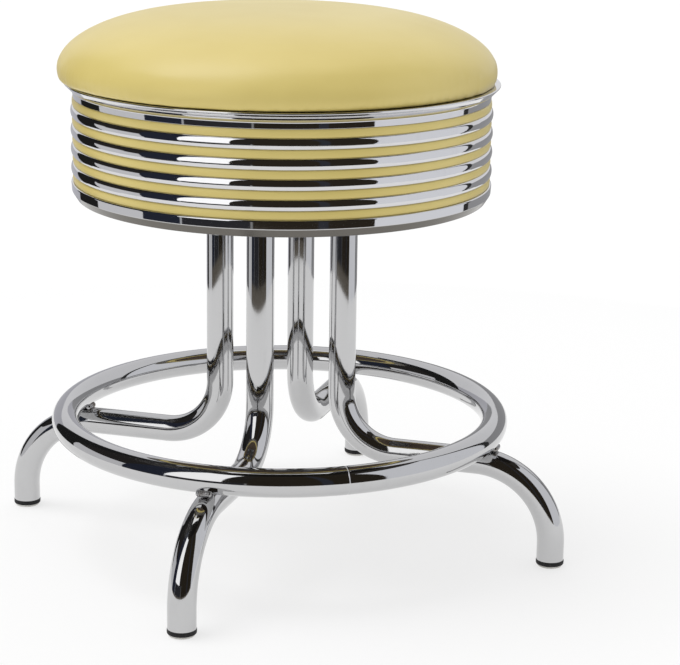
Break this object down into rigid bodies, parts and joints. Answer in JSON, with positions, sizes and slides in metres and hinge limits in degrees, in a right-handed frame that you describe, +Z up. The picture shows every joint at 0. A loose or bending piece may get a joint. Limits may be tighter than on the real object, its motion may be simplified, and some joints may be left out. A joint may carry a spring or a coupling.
{
  "type": "diner counter stool",
  "caption": "Low round padded swivel stool: domed vinyl cushion in a ribbed chrome band with yellow inlays, on bent chrome tube legs with a foot ring.",
  "frame": {"origin": "on the floor, under the middle of the seat, on the swivel's axis", "axes": "+Z up along the swivel's axis; the four legs lie along +X (right), +Y (back), -X (left) and -Y (front)"},
  "size_m": [0.5496, 0.5496, 0.499],
  "materials": {
    "tube_chrome": "bright chrome plate on steel tube",
    "band_chrome": "bright chrome plate on rolled sheet steel",
    "seat_vinyl": "butter yellow upholstery vinyl with a fine grain and a soft gloss",
    "inlay_vinyl": "yellow vinyl strip, semi gloss",
    "cap_plastic": "black moulded plastic",
    "glide_plastic": "pale grey nylon glide",
    "frame_plate_paint": "black paint on steel plate",
    "zinc_steel": "bright zinc plate on pressed steel",
    "bearing_nylon": "natural nylon, greased",
    "plywood": "raw birch plywood",
    "foam": "open cell upholstery foam"
  },
  "bodies": {
    "frame": {"leg_right": "tube_chrome", "leg_back": "tube_chrome", "leg_left": "tube_chrome", "leg_front": "tube_chrome", "foot_cap_right": "cap_plastic", "foot_cap_back": "cap_plastic", "foot_cap_left": "cap_plastic", "foot_cap_front": "cap_plastic", "glide_pad_right": "glide_plastic", "glide_pad_back": "glide_plastic", "glide_pad_left": "glide_plastic", "glide_pad_front": "glide_plastic", "foot_ring": "tube_chrome", "ring_welds": "tube_chrome", "frame_plate": "frame_plate_paint", "plate_welds": "tube_chrome", "swivel_bottom_plate": "zinc_steel", "bearing_ring": "bearing_nylon", "king_pin": "zinc_steel", "pin_washer": "zinc_steel", "plate_bolts": "zinc_steel", "plate_nuts": "zinc_steel"},
    "seat": {"swivel_top_plate": "zinc_steel", "seat_screws": "zinc_steel", "seat_board": "plywood", "seat_foam": "foam", "seat_cover": "seat_vinyl", "seat_band": "band_chrome", "band_screws": "zinc_steel", "inlay_strip_1": "inlay_vinyl", "inlay_strip_2": "inlay_vinyl", "inlay_strip_3": "inlay_vinyl", "inlay_strip_4": "inlay_vinyl", "inlay_strip_5": "inlay_vinyl"}
  },
  "joints": [
    {"name": "seat_swivel", "type": "hinge", "parent": "frame", "child": "seat", "pos_m": [0, 0, 0.3265], "axis": [0, 0, 1], "continuous": true}
  ]
}
